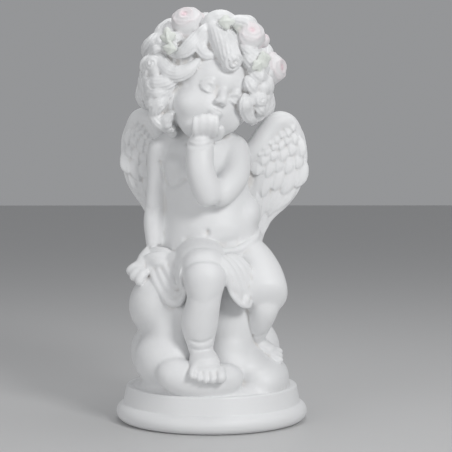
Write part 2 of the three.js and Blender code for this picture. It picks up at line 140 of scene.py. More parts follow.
def along(stations, t):
    """Rows of the smooth curve through the stations, at shares t of its way."""
    p = np.array(stations, float)
    p = np.vstack([2 * p[0] - p[1], p, 2 * p[-1] - p[-2]])
    s = np.clip(t, 0, 1) * (len(stations) - 1)
    i = np.minimum(s.astype(int), len(stations) - 2)
    f = (s - i)[:, None]
    a, b, c, d = p[i], p[i + 1], p[i + 2], p[i + 3]
    return 0.5 * (2 * b + (c - a) * f + (2 * a - 5 * b + 4 * c - d) * f**2 + (3 * b - a - 3 * c + d) * f**3)


BALLS = {}


def unit_ball(sides, rings):
    """The corners and faces of a ball of radius 1, its poles on Z."""
    if (sides, rings) not in BALLS:
        bm = bmesh.new()
        bmesh.ops.create_uvsphere(bm, u_segments=sides, v_segments=rings, radius=1)
        bm.verts.index_update()
        corners = np.array([v.co for v in bm.verts])
        BALLS[sides, rings] = corners, [[v.index for v in face.verts] for face in bm.faces]
        bm.free()
    return BALLS[sides, rings]


def moved(points, place):
    """Points carried by a 4 x 4 matrix."""
    matrix = np.array(place)
    return points @ matrix[:3, :3].T + matrix[:3, 3]


def dab(pile, at, half, turn=(0, 0, 0), place=Matrix(), segments=24):
    """Adds an ellipsoid dab of clay, turned by degrees, to a pile."""
    corners, faces = unit_ball(segments, segments // 2)
    spin = Euler([math.radians(a) for a in turn]).to_matrix().to_4x4()
    shape = place @ Matrix.Translation(at) @ spin @ Matrix.Diagonal((*half, 1))
    pile.append((moved(corners, shape), faces))


def coil(pile, stations, flat=1.0, facing=(0, -1, 0), fullness=8, sides=14, rings=28, place=Matrix()):
    """Adds a round-ended roll of clay through stations (x, y, z, half-width) to a pile.

    Its depth is flat times its width, measured towards facing. A higher fullness blunts its ends.
    """
    corners, faces = unit_ball(sides, rings)
    t = np.arccos(np.clip(corners[:, 2], -1, 1)) / math.pi
    closing = np.sqrt(np.clip(1 - np.abs(2 * t - 1) ** fullness, 0, 1))
    angle = np.arctan2(corners[:, 1], corners[:, 0])
    rows = along(stations, t)
    spine = [s[:3] for s in stations]
    tangent = along(spine, t + 0.01) - along(spine, t - 0.01)
    tangent /= np.linalg.norm(tangent, axis=1)[:, None]
    front = np.array(facing, float) if np.ndim(facing) == 1 else along(facing, t)
    across = np.cross(tangent, front)
    across /= np.maximum(np.linalg.norm(across, axis=1), 1e-6)[:, None]
    outward = np.cross(across, tangent)
    half = (rows[:, 3] * closing)[:, None]
    sideways = across * half * np.cos(angle)[:, None]
    upward = outward * half * flat * np.sin(angle)[:, None]
    pile.append((moved(rows[:, :3] + sideways + upward, place), faces))


def baked(obj):
    """Applies the object's modifiers to its mesh."""
    graph = bpy.context.evaluated_depsgraph_get()
    mesh = bpy.data.meshes.new_from_object(obj.evaluated_get(graph))
    obj.modifiers.clear()
    obj.data = mesh
    return obj


def clay(name, pile):
    """The object of a pile of clay, its faces pointing out."""
    points = []
    faces = []
    for corners, sides in pile:
        faces += [[len(points) + i for i in face] for face in sides]
        points += corners.tolist()
    mesh = bpy.data.meshes.new(name)
    mesh.from_pydata(points, [], faces)
    bm = bmesh.new()
    bm.from_mesh(mesh)
    bmesh.ops.recalc_face_normals(bm, faces=bm.faces)
    bm.to_mesh(mesh)
    bm.free()
    obj = bpy.data.objects.new(name, mesh)
    bpy.context.collection.objects.link(obj)
    return obj


def joined(name, objects):
    """One object of several, which are taken away."""
    bm = bmesh.new()
    for obj in objects:
        bm.from_mesh(obj.data)
        bpy.data.objects.remove(obj)
    mesh = bpy.data.meshes.new(name)
    bm.to_mesh(mesh)
    bm.free()
    obj = bpy.data.objects.new(name, mesh)
    bpy.context.collection.objects.link(obj)
    return obj


def fused(obj, voxel, smoothing=0):
    """Presses overlapping clay into one skin, and softens it."""
    remesh = obj.modifiers.new("skin", "REMESH")
    remesh.mode = "VOXEL"
    remesh.voxel_size = voxel
    if smoothing:
        soften = obj.modifiers.new("soften", "SMOOTH")
        soften.factor = 0.5
        soften.iterations = smoothing
    return baked(obj)


pile = []
for at, half in PUFFS:
    dab(pile, at, half, segments=48)
cloud = fused(clay("cloud", pile), CLOUD_VOXEL, CLOUD_SOFTENING)
pile = []
coil(pile, FOOTREST_PUFF, fullness=3, sides=32, rings=48)
cloud = joined("cloud", [cloud, clay("footrest", pile)])
cloud = fused(cloud, FOOTREST_VOXEL, FOOTREST_SOFTENING)

# Body
# Torso, limbs and neck of a plump child, built up as rolls and balls of clay and blended. Creases at
# the wrists, elbows, knees and ankles, the navel and the breast folds are pressed in afterwards.
# Places along each part, with its half-width there.
TORSO = [
    (0, 8, 116, 42), (0, 4, 140, 56), (0, 0, 166, 58), (0, -3, 194, 56),
    (-4, -1, 226, 51), (-10, 2, 260, 50), (-14, 5, 290, 46), (-14, 6, 308, 26),
]
SHOULDERS = [(-62, 4, 284, 15), (-40, 6, 297, 17), (-14, 6, 302, 19), (12, 4, 297, 17), (31, 2, 284, 15)]
NECK = [(-14, 6, 290, 24), (-10, 0, 335, 24)]
# Belly, breasts and hip.
BODY_DABS = [
    ((2, -16, 190), (45, 33, 33)),
    ((-37, -14, 264), (21, 20, 19)),
    ((22, -14, 262), (21, 18, 19)),
    ((44, -6, 208), (16, 26, 22)),
]
ARM_ON_CLOUD = [
    (-56, 6, 300, 12), (-61, 4, 284, 17), (-66, 2, 250, 12.5), (-69, 0, 214, 12),
    (-70, -4, 197, 12.8), (-70, -8, 172, 10), (-70, -9, 160, 9),
]
UPPER_ARM_TO_CHIN = [
    (20, 6, 300, 12), (27, 0, 284, 19), (28, -25, 256, 18), (14, -50, 236, 17), (0, -60, 228, 15),
]
FOREARM_TO_CHIN = [
    (2, -58, 222, 13), (-4, -63, 234, 17), (-13, -68, 262, 17), (-13, -65, 290, 16), (-11, -62, 304, 13),
]
# Each leg: its thigh, then its shin.
LEG_DOWN = [
    [(-14, 8, 148, 30), (-12, -30, 148, 31), (-9, -68, 144, 28), (-8, -90, 139, 24)],
    [
        (-8, -86, 154, 20), (-8, -92, 138, 25.5), (-9, -93, 112, 20),
        (-14, -84, 84, 22), (-13, -80, 58, 16), (-12, -78, 42, 15),
    ],
]
LEG_BACK = [
    [(22, 14, 150, 30), (38, -8, 150, 33), (54, -34, 134, 31), (63, -58, 114, 28), (66, -70, 105, 22)],
    [(64, -56, 108, 17), (62, -54, 96, 17), (58, -44, 80, 14.5), (55, -28, 63, 10.5), (55, -16, 52, 10)],
]
FINGERS_ON_CLOUD = [
    [(-78, -20, 149, 6.5), (-92, -24, 143, 7), (-101, -24, 135, 6.8)],
    [(-79, -27, 144, 6), (-90, -32, 137, 6.6), (-95, -33, 128, 6)],
    [(-76, -32, 142, 6), (-84, -39, 133, 6), (-88, -40, 123, 5.6)],
]
PALM_ON_CLOUD = [(-70, -8, 166, 10), (-76, -17, 151, 14), (-84, -26, 142, 11)]
PALM_PAD = ((-76, -16, 138), (13, 14, 11))
FIST = [(-11, -62, 296, 12.5), (-8, -65, 307, 14), (-8, -65, 317, 11)]
# Each bent finger: its place across the fist, its half-width and how far its knuckle stands up.
FINGERS_AT_CHIN = [(-19.5, 4.2, 0), (-11.5, 4.6, 2), (-3, 4.6, 2.5), (5, 4.4, 1)]
THUMB_AT_CHIN = [(3, -60, 296, 6), (10, -68, 304, 5.6), (11, -76, 313, 4.8)]
FOOT_DOWN = [(-12, -76, 50, 14), (-9, -88, 41, 17.5), (-6, -99, 32, 19)]
BALL_OF_FOOT = ((-5, -101, 29), (18, 13, 10), (18, 0, 0))
FOOT_BACK = [(55, -12, 55, 10), (63, -22, 48, 13), (76, -28, 41, 13)]
# Toes of the front foot as (x, z, half-width), and of the back foot as (y, z).
TOES_DOWN = [(-22, 27, 4.6), (-14.5, 24, 4.8), (-7, 22, 5), (1, 22, 5.2), (10.5, 23, 7)]
TOES_BACK = [(-20, 45), (-28, 41), (-36, 37)]
# Each crease: its places (x, z) seen from the front, its width and its depth. They are the wrist of the
# fist, the fold under the breast, the navel, the belly, the other wrist and elbow, the knee, both
# ankles and the gaps between the toes.
CREASES = [
    ([(-30, 292), (-13, 288), (3, 293)], 2.2, 2.6),
    ([(-28, 297), (-12, 294), (2, 298)], 1.6, 1.4),
    ([(-62, 270), (-58.5, 256), (-54, 243), (-44, 242), (-32, 249)], 2.6, 3.2),
    ([(-5.5, 188), (-5.5, 186)], 3.2, 5),
    ([(-30, 178), (-6, 171), (30, 178)], 4, 1.6),
    ([(-77, 168), (-70, 165), (-62, 168)], 2, 2.2),
    ([(-78, 214), (-72, 212), (-66, 215)], 3, 1.4),
    ([(-28, 117), (-9, 110), (12, 119)], 5, 0.9),
    ([(-27, 66), (-13, 62), (1, 66)], 2.2, 2.2),
    ([(-27, 56), (-13, 53), (1, 56)], 2.0, 1.8),
    ([(44, 66), (54, 63), (64, 66)], 2.2, 2),
    ([(-18, 31), (-18.6, 19)], 1.3, 2.4),
    ([(-10.8, 31), (-11, 16)], 1.3, 2.4),
    ([(-3, 31), (-3, 14)], 1.3, 2.4),
    ([(5, 31), (5.2, 14)], 1.3, 2.4),
]
BODY_VOXEL = 2.4
BODY_SOFTENING = 10
HAND_VOXEL = 1.3
JOINED_VOXEL = 1.5
LIGHT_SOFTENING = 3


def surface(obj):
    """The object's skin, to lay clay on."""
    bm = bmesh.new()
    bm.from_mesh(obj.data)
    return BVHTree.FromBMesh(bm)


def pressed(obj, strokes):
    """Presses creases into the skin: each stroke is (x, z) places seen from the front, width and depth."""
    tree = surface(obj)
    count = len(obj.data.vertices)
    places = np.empty(3 * count)
    outs = np.empty(3 * count)
    obj.data.vertices.foreach_get("co", places)
    obj.data.vertices.foreach_get("normal", outs)
    places = places.reshape(-1, 3)
    outs = outs.reshape(-1, 3)
    sunk = np.zeros(count)
    for stroke, width, depth in strokes:
        line = [tree.ray_cast((x, -300, z), (0, 1, 0))[0] for x, z in along(stroke, np.linspace(0, 1, 24))]
        gap = np.min([((places - np.array(spot)) ** 2).sum(axis=1) for spot in line if spot], axis=0)
        sunk += depth * np.exp(-gap / width**2)
    obj.data.vertices.foreach_set("co", (places - outs * sunk[:, None]).ravel())
    obj.data.update()
    return obj


pile = []
coil(pile, TORSO, flat=0.76, fullness=6, sides=40, rings=40)
coil(pile, SHOULDERS, sides=24)
coil(pile, NECK, sides=24)
for at, half in BODY_DABS:
    dab(pile, at, half, segments=32)
coil(pile, ARM_ON_CLOUD, sides=24, rings=40)
coil(pile, UPPER_ARM_TO_CHIN, facing=(0, -0.6, 0.8), sides=24, rings=32)
coil(pile, FOREARM_TO_CHIN, sides=24, rings=32)
for thigh, shin in (LEG_DOWN, LEG_BACK):
    coil(pile, thigh, facing=(0.4, 0, 0.9), sides=28, rings=32)
    coil(pile, shin, facing=(0, -1, 0.2), sides=28, rings=40)
body = fused(clay("body", pile), BODY_VOXEL, BODY_SOFTENING)

pile = []
dab(pile, *PALM_PAD)
coil(pile, PALM_ON_CLOUD, flat=0.75)
for stations in FINGERS_ON_CLOUD:
    coil(pile, stations, fullness=4)
coil(pile, FIST, flat=0.8)
for x, half, up in FINGERS_AT_CHIN:
    knuckles = [
        (x * 0.85 - 1, -70, 300), (x, -82, 308 + up), (x * 0.96, -84, 317 + up), (x * 0.9, -74, 324 + up),
    ]
    coil(pile, [(*knuckle, half) for knuckle in knuckles], fullness=4)
coil(pile, THUMB_AT_CHIN, fullness=4)
coil(pile, FOOT_DOWN, flat=0.72, facing=(0, -0.5, 0.9), sides=24)
dab(pile, *BALL_OF_FOOT)
for x, z, half in TOES_DOWN:
    toe = [(x * 0.85, -94, z + 9, half), (x, -108, z + 4, half), (x, -116, z - 4, half)]
    coil(pile, toe, facing=(0, 0, 1), fullness=4)
coil(pile, FOOT_BACK, flat=0.6, facing=(0, 0, 1), sides=24)
for y, z in TOES_BACK:
    coil(pile, [(70, y + 2, z + 1, 5), (86, y - 2, z - 5, 4.6)], facing=(0, 0, 1), fullness=4)
extremities = fused(clay("hands_and_feet", pile), HAND_VOXEL, LIGHT_SOFTENING)
body = fused(joined("body", [body, extremities]), JOINED_VOXEL, LIGHT_SOFTENING)
body = pressed(body, CREASES)

# Head
# A plain, calm child's face on schoolbook proportions: eyes on the head's middle line, a small round
# nose, a closed mouth and full cheeks. It is modelled upright, then set turned and tilted on the neck.
HEAD_CENTRE = (-3, -10, 355)
HEAD_YAW = 22
HEAD_ROLL = 22
HEAD_VOXEL = 2.0
HEAD_SOFTENING = 14
FEATURE_VOXEL = 1.0
SOCKETS_AND_CHIN = [
    ([(-24, -2), (-12, -1)], 7, 4.5), ([(12, -1), (24, -2)], 7, 4.5), ([(-8, -36), (8, -36)], 3, 1.5),
]
# The lid's edge and the fold above it: height and half-width.
LIDS = [(1.4, 1.8), (6, 1.6)]
UPPER_LIP = [
    (-11, -43, -30, 1.4), (-5, -48.6, -28.2, 2.8), (0, -49.2, -29, 2.2), (5, -48.6, -28.2, 2.8),
    (11, -43, -30, 1.4),
]
LOWER_LIP = [(-9, -43.5, -31.5, 1.4), (0, -48, -34.2, 3.8), (9, -43.5, -31.5, 1.4)]
NOSTRILS_AND_EYES = [(-3.4, -19), (3, -19), (-17.5, -3), (17, -3)]
head_place = (
    Matrix.Translation(HEAD_CENTRE)
    @ Matrix.Rotation(math.radians(HEAD_YAW), 4, "Z")
    @ Matrix.Rotation(math.radians(HEAD_ROLL), 4, "Y")
)
# Skull and jaw, the cheeks and brows, then the chin and throat.
pile = []
dab(pile, (0, 4, 12), (50, 55, 50), segments=48)
dab(pile, (0, -8, -22), (43, 40, 37), segments=48)
for side in (-1, 1):
    dab(pile, (side * 21, -20, -26), (22, 21, 20), segments=32)
    dab(pile, (side * 18, -36, 14), (14, 10, 8), segments=24)
dab(pile, (0, -34, -47), (13, 12, 10), segments=24)
dab(pile, (0, -18, -50), (26, 24, 14), segments=24)
head = fused(clay("head", pile), HEAD_VOXEL, HEAD_SOFTENING)
head = pressed(head, SOCKETS_AND_CHIN)

# The nose, then for each side its wing, the eyeball, the lids and the ear.
pile = []
coil(pile, [(0, -43, 8, 4.5), (0, -47, -2, 5), (0, -53, -12, 6), (0, -52, -16.5, 5.5)])
for side in (-1, 1):
    dab(pile, (side * 4.6, -52, -16), (3.8, 4.6, 3.4))
    dab(pile, (side * 17.5, -37.4, -3.4), (9, 8, 7))
    for z, half in LIDS:
        upper_lid = [
            (side * 8.5, -41.5, z - 6.5, 1.4), (side * 18, -46.6, z, half), (side * 28.5, -37, z - 6, 1.4),
        ]
        coil(pile, upper_lid)
    lower_lid = [(side * 9, -43, -6.6, 1), (side * 18, -44.8, -9.2, 1.5), (side * 27, -38.5, -6.4, 1)]
    coil(pile, lower_lid, fullness=4)
    dab(pile, (side * 49, 2, -14), (4.5, 8, 11))
    rim = [(side * 51, 2 - 9 * math.sin(a), -13 + 12 * math.cos(a), 2.2) for a in np.linspace(-2.4, 2.9, 9)]
    coil(pile, rim, facing=(side, 0, 0.1), fullness=5)
coil(pile, UPPER_LIP, fullness=4)
coil(pile, LOWER_LIP, fullness=4)
head = fused(joined("head", [head, clay("features", pile)]), FEATURE_VOXEL, LIGHT_SOFTENING)
head = pressed(head, [([(x, z), (x + 0.5, z)], 1.3, 1.4) for x, z in NOSTRILS_AND_EYES])
head.data.transform(head_place)

# Hair
# Thick locks laid over a full head of hair, modelled one by one. Each is a roll of clay scored into
# strands that sweeps across the head, and many end in a volute.
# Each mass of hair under the locks: its middle and its half sizes.
HAIR_MASSES = [
    ((-5, 6, 379), (69, 57, 63)),
    ((-48, -4, 360), (29, 38, 49)),
    ((40, 0, 364), (28, 38, 45)),
    ((4, -8, 411), (52, 40, 30)),
    ((42, -14, 366), (19, 28, 36)),
    ((56, -12, 360), (14, 18, 22)),
    ((-60, -14, 378), (14, 18, 20)),
    ((-47, -14, 350), (21, 28, 36)),
]
HAIR_MIDDLE = Vector((-5, 2, 380))
HAIR_VOXEL = 1.8
HAIR_SOFTENING = 12
UNDER_HAIR_VOXEL = 2.0
COMB_WAVES = 34
COMB_DEPTH = 0.9
# Each lock: (x, z) places seen from the front, half-width, its curl's radius and which way it turns.
FRONT_LOCKS = [
    ([(-70, 336), (-66, 324), (-56, 314), (-44, 308)], 6.5, 0, 1),
    ([(-45, 328), (-51, 323), (-56, 314), (-51, 306)], 6, 5, 1),
    ([(-50, 341), (-58, 340), (-65, 331), (-62, 320)], 7, 6, 1),
    ([(-46, 352), (-60, 344), (-71, 341), (-76, 348)], 7, 6, -1),
    ([(-42, 362), (-56, 354), (-70, 354), (-77, 362)], 7.5, 7, -1),
    ([(-34, 376), (-48, 366), (-64, 364), (-75, 370)], 8.5, 7, -1),
    ([(-14, 392), (-26, 378), (-40, 374), (-52, 380), (-60, 391), (-71, 393)], 9, 10, 1),
    ([(-52, 404), (-64, 402), (-74, 394)], 6.5, 5, 1),
    ([(-12, 426), (-19, 410), (-30, 399), (-45, 397)], 8.5, 7, -1),
    ([(-34, 417), (-46, 413), (-58, 405)], 7.5, 6, 1),
    ([(40, 352), (38, 338), (43, 326), (53, 322)], 8, 7, 1),
    ([(50, 344), (58, 334), (66, 338)], 6.5, 5, 1),
    ([(40, 372), (46, 360), (54, 356)], 7, 9, -1),
    ([(54, 370), (64, 362), (69, 350)], 6.5, 5, -1),
    ([(42, 384), (54, 372), (66, 370)], 8, 5, 1),
    ([(36, 400), (44, 388), (58, 380), (68, 384)], 8, 0, 1),
    ([(33, 408), (44, 398), (57, 390), (69, 391)], 8, 0, 1),
    ([(20, 436), (38, 432), (52, 421)], 7, 0, 1),
    ([(-12, 431), (4, 437), (18, 437), (33, 431)], 8, 0, 1),
    ([(4, 428), (-4, 418), (-6, 408), (0, 401)], 5, 0, 1),
    ([(6, 433), (-8, 423), (-14, 408), (-7, 396), (4, 396)], 7, 4, 1),
]
# The big roll over the forehead: places seen from the front, half-width, and the way its end faces.
FOREHEAD_ROLL = [(-3, 431), (6, 421), (14, 406), (22, 388)]
ROLL_HALF = 14
ROLL_END_FACING = Vector((0.35, -0.85, -0.4)).normalized()
ROLL_STRANDS = 15
ROLL_WINDING = 1.1
# Pads of clay that close gaps under the locks, and rolled ends that stand proud round the face: places
# seen from the front, and the rolled ends' radius.
HAIR_PADS = [(-64, 376), (60, 358)]
VOLUTES = [(-66, 386, 10.5), (-69, 361, 8), (-65, 340, 7), (-51, 317, 6.5), (56, 345, 9.5), (64, 366, 7)]
# Each row of locks round the back: how many degrees up it lies, its locks and their half-width.
BACK_ROWS = [(72, 5, 8), (48, 8, 12), (24, 9, 12), (0, 9, 12), (-22, 8, 12)]
BACK_CURL = 7
LOCK_STEPS = 12
FRONT_FULLNESS = 1.2
# How far a lock arches off the head, leans towards the viewer, and reads its depth inside the rim.
LOCK_ARCH = 0.45
LOCK_FACING = 1.5
RIM_SHARE = 0.89
# A lock's bed, core and strands as shares of its half-width, and the spacing of its strands.
LOCK_BED = 1.1
LOCK_CORE = 0.9
STRAND_SPREAD = 0.92
STRAND_RISE = 0.88
STRAND_SPACING = 1.9
# A curl winds on in steps, both in degrees.
CURL_STEP = 38
CURL_END = 560


def laid_from_front(tree, x, z):
    """A place over a skin at x and z seen from the front, and its way out.

    Its depth is read a little nearer the middle, so that it doesn't fall off the head's rim.
    """
    for share in np.linspace(RIM_SHARE, 0.4, 40):
        aside = HAIR_MIDDLE.x + (x - HAIR_MIDDLE.x) * share
        height = HAIR_MIDDLE.z + (z - HAIR_MIDDLE.z) * share
        hit = tree.ray_cast((aside, -300, height), (0, 1, 0))[0]
        if hit:
            place = Vector((x, hit.y, z))
            out = (place - HAIR_MIDDLE).normalized() + Vector((0, -LOCK_FACING, 0))
            return place, out.normalized()
    return None


def laid_from_afar(tree, azimuth, rise):
    """The place on the head's skin in a direction from its middle, and its way out."""
    way = Vector((math.sin(azimuth) * math.cos(rise), -math.cos(azimuth) * math.cos(rise), math.sin(rise)))
    return tree.ray_cast(HAIR_MIDDLE + way * 200, -way)[0], way


def ways_across(points, outs):
    """The way across a lock at each of its points."""
    across = np.cross(np.gradient(points, axis=0), outs)
    return across / np.linalg.norm(across, axis=1)[:, None]


def lock(pile, spots, halves, curl, turn):
    """A lock over spots (place, way out) of a skin, scored into strands, with a volute at its end."""
    share = np.linspace(0, 1, len(spots))
    widths = np.array(halves)
    outs = np.array([out for _, out in spots])
    arch = widths * LOCK_ARCH * np.sin(share * math.pi)
    points = np.array([place for place, _ in spots]) + outs * arch[:, None]
    if curl:
        out = outs[-1]
        ahead = points[-1] - points[-3]
        ahead -= out * ahead.dot(out)
        ahead /= np.linalg.norm(ahead)
        aside = np.cross(out, ahead) * turn
        centre = points[-1] + aside * curl
        angles = np.radians(np.arange(CURL_STEP, CURL_END, CURL_STEP))
        shrink = np.linspace(0.94, 0.22, len(angles))
        arms = shrink[:, None] * (np.sin(angles)[:, None] * ahead - np.cos(angles)[:, None] * aside)
        rise = np.linspace(0.2, 0.85, len(angles))[:, None] * curl
        dab(pile, centre + out * curl * 0.3, (curl * 0.75, curl * 0.75, curl * 0.5), segments=16)
        dab(pile, centre + out * curl * 0.75, (curl * 0.24,) * 3, segments=12)
        points = np.vstack((points, centre + curl * arms + out * rise))
        outs = np.vstack((outs, np.tile(out, (len(angles), 1))))
        tip = np.minimum(widths[-1], curl * 0.42) * np.linspace(1, 0.55, len(angles))
        widths = np.concatenate((widths, tip))
    across = ways_across(points, outs)
    rings = 3 * len(points)
    sunk = points - outs * widths[:, None]
    coil(pile, [(*p, h * LOCK_BED) for p, h in zip(sunk, widths)], facing=outs, fullness=4, rings=rings)
    coil(pile, [(*p, h * LOCK_CORE) for p, h in zip(points, widths)], facing=outs, fullness=4, rings=rings)
    count = max(4, round(max(halves) / STRAND_SPACING))
    gather = widths * np.clip(np.linspace(0.55, 0.55 + len(points) / 5, len(points)), 0, 1)
    thick = np.maximum(widths / count, 1.0)
    for n in range(count):
        side = (2 * n + 1) / count - 1
        lift = STRAND_RISE * math.sqrt(1 - side * side)
        line = points + across * (side * gather * STRAND_SPREAD)[:, None] + outs * (lift * gather)[:, None]
        coil(pile, [(*p, h) for p, h in zip(line, thick)], facing=outs, fullness=5, sides=8, rings=rings)


def volute(pile, at, facing, radius):
    """The rolled end of a lock: a coil winding out of its middle, towards the way it faces."""
    end = Matrix.Translation(at) @ facing.to_track_quat("Z", "Y").to_matrix().to_4x4()
    dab(pile, (0, 0, 0), (radius * 0.95, radius * 0.95, radius * 0.6), place=end)
    spiral = []
    for angle in np.arange(0, 14, 0.5):
        reach = radius * (0.84 - 0.055 * angle)
        rise = radius * (0.3 + 0.035 * angle)
        half = radius * (0.19 - 0.0065 * angle)
        spiral.append((reach * math.cos(angle), reach * math.sin(angle), rise, half))
    coil(pile, spiral, facing=(0, 0, 1), fullness=6, rings=120, place=end)


def forehead_roll(pile, skin):
    """The big roll over the forehead: a core with strands wound round it, and its rolled end."""
    share = np.linspace(0, 1, LOCK_STEPS)
    spots = [laid_from_front(skin, x, z) for x, z in along(FOREHEAD_ROLL, share)]
    outs = np.array([out for _, out in spots])
    halves = ROLL_HALF * (0.45 + 0.55 * np.sin(0.5 * math.pi * np.minimum(1, 1.6 * share)))
    points = np.array([place for place, _ in spots]) + outs * (3 + 5 * share)[:, None]
    across = ways_across(points, outs)
    coil(pile, [(*p, h) for p, h in zip(points, halves * 0.92)], facing=outs, sides=24, rings=40)
    for angle in np.radians(np.linspace(-30, 250, ROLL_STRANDS)):
        wound = angle - ROLL_WINDING * share
        arm = across * np.cos(wound)[:, None] + outs * np.sin(wound)[:, None]
        line = points + arm * (halves * 0.9)[:, None]
        coil(pile, [(*p, h) for p, h in zip(line, halves * 0.15)], fullness=5, sides=8, rings=40)
    volute(pile, points[-1], ROLL_END_FACING, ROLL_HALF)


pile = []
for at, half in HAIR_MASSES:
    dab(pile, at, half, segments=40)
mass = fused(clay("hair_mass", pile), HAIR_VOXEL, HAIR_SOFTENING)
# The mass is combed with fine waves, which show between the locks.
for vert in mass.data.vertices:
    away = vert.co - HAIR_MIDDLE
    round_head = math.atan2(away.x, -away.y)
    down = math.acos(away.z / away.length)
    comb = math.sin(COMB_WAVES * round_head + 2.5 * math.sin(5 * down)) * min(1, 2 * math.sin(down) ** 2)
    vert.co += away.normalized() * COMB_DEPTH * comb
skin = surface(fused(joined("under_hair", [mass.copy(), head.copy()]), UNDER_HAIR_VOXEL))
bpy.data.objects.remove(bpy.data.objects["under_hair"])
pile = []
swell = 0.4 + 0.6 * np.sin(np.linspace(0.12, 0.96, LOCK_STEPS) * math.pi)
for places, half, curl, turn in FRONT_LOCKS:
    spots = [laid_from_front(skin, x, z) for x, z in along(places, np.linspace(0, 1, LOCK_STEPS))]
    lock(pile, spots, FRONT_FULLNESS * half * swell, curl, turn)
forehead_roll(pile, skin)
for x, z in HAIR_PADS:
    dab(pile, laid_from_front(skin, x, z)[0], (10, 12, 10))
for x, z, radius in VOLUTES:
    place, out = laid_from_front(skin, x, z)
    volute(pile, place + out * 6, out, radius)
for row, (high, count, half) in enumerate(BACK_ROWS):
    for i in range(count):
        azimuth = math.radians(90 + 180 * (i + 0.25 + 0.5 * (row % 2)) / count)
        turn = -1 if row % 2 else 1
        spots = []
        for share in np.linspace(0, 1, LOCK_STEPS):
            bend = turn * (0.3 * math.sin(share * math.pi * 1.5) + 0.05 * math.sin(5 * i))
            spots.append(laid_from_afar(skin, azimuth + bend, math.radians(high + 17 - 38 * share)))
        lock(pile, spots, half * swell, BACK_CURL, turn)
hair = joined("hair", [mass, clay("hair_locks", pile)])

# Garland
# Round, closed roses whose broad petals wrap each other, and lobed leaves between them, bound round
# the hair. A rose is a ball of clay with the thin edges of its petals raised on it.
# Each rose: its middle, its radius and the way it opens. The last two are at the back.
ROSES = [
    ((-28, -26, 435), 20, (-0.25, -0.75, 0.6)),
    ((46, -34, 419), 18, (0.15, -0.9, 0.45)),
    ((71, -4, 382), 20, (0.9, -0.6, 0.1)),
    ((61, -18, 415), 9, (0.6, -0.5, 0.6)),
    ((34, 46, 418), 17, (0.4, 0.7, 0.6)),
    ((-38, 46, 416), 17, (-0.4, 0.7, 0.6)),
]
# Each petal's edge: its angle from the rose's axis, the way it leans and how far it leans.
PETAL_RINGS = [(1.8, 0.4, 0.3), (1.3, 2.7, 0.4), (0.9, 4.6, 0.34), (0.58, 1.2, 0.2), (0.36, 3.6, 0.1)]
PETAL_STEP = 0.022
PETAL_LIP = 0.045
# Each leaf: its place (x, z) seen from the front, its length and the way (x, z) that it points.
LEAVES = [
    (-50, 412, 15, (-0.2, 1)),
    (-44, 402, 12, (-1, 0.2)),
    (12, 432, 14, (1, 0.1)),
    (28, 430, 12, (1, -0.2)),
    (60, 396, 14, (0.2, -1)),
    (56, 386, 11, (-0.8, -0.6)),
]
# Each lobe: degrees from the leaf's middle line, and size.
LEAF_LOBES = [(-48, 0.85), (48, 0.85), (0, 1.15)]
LEAF_LIFT = 2
rose_tints = []


def rose(pile, centre, radius, axis):
    """A rose opening along the axis. Its blush is kept for each corner."""
    corners, faces = unit_ball(96, 64)
    theta = np.arccos(np.clip(corners[:, 2], -1, 1))
    phi = np.arctan2(corners[:, 1], corners[:, 0])
    reach = np.full(len(corners), 1 - PETAL_STEP * len(PETAL_RINGS))
    blush = 0.03 + 0.9 * np.exp(-((theta / 0.22) ** 2))
    for n, (edge, turn, sweep) in enumerate(PETAL_RINGS):
        past = theta - edge + sweep * np.cos(phi - turn)
        lip = np.exp(-(((past - 0.06) / 0.07) ** 2))
        reach += PETAL_STEP * np.clip(past / 0.06, 0, 1) + PETAL_LIP * lip
        blush += (0.4 if n == 0 else 0.14) * lip
    heart = np.clip(1 - theta / 0.4, 0, 1)
    reach += heart * (0.08 * np.cos(phi + 16 * theta) - 0.1)
    place = Matrix.Translation(centre) @ Vector(axis).to_track_quat("Z", "Y").to_matrix().to_4x4()
    pile.append((moved(corners * (reach * radius)[:, None], place), faces))
    rose_tints.extend(np.clip(blush, 0, 1))


def leaf(pile, spot, length, ahead):
    """A leaf of three lobes lying on a spot of the hair, each with a raised midrib."""
    at, out = spot
    side = out.cross(Vector((ahead[0], 0, ahead[1]))).normalized()
    place = Matrix((side, side.cross(out), out)).transposed().to_4x4()
    place = Matrix.Translation(at + out * LEAF_LIFT) @ place @ Matrix.Scale(length, 4)
    for swing, size in LEAF_LOBES:
        lobe = place @ Matrix.Rotation(math.radians(swing), 4, "Z") @ Matrix.Scale(size, 4)
        dab(pile, (0, 0.35, 0), (0.34, 0.66, 0.2), place=lobe)
        coil(pile, [(0, -0.2, 0.12, 0.07), (0, 0.3, 0.24, 0.07), (0, 0.85, 0.08, 0.05)], place=lobe)


pile = []
for centre, radius, axis in ROSES:
    rose(pile, centre, radius, axis)
roses = clay("roses", pile)
skin = surface(hair)
pile = []
for x, z, length, ahead in LEAVES:
    leaf(pile, laid_from_front(skin, x, z), length, ahead)
leaves = clay("leaves", pile)

# Wings
# Each wing is a blade with a thick rolled leading edge, small downy coverts inside the bend, and
# rows of round-tipped feathers that overlap like tiles and run down to the wing's tip.
WING_ROOT_DEPTH = 22
WING_SWEEP = 0.24
BLADE_THICKNESS = 9
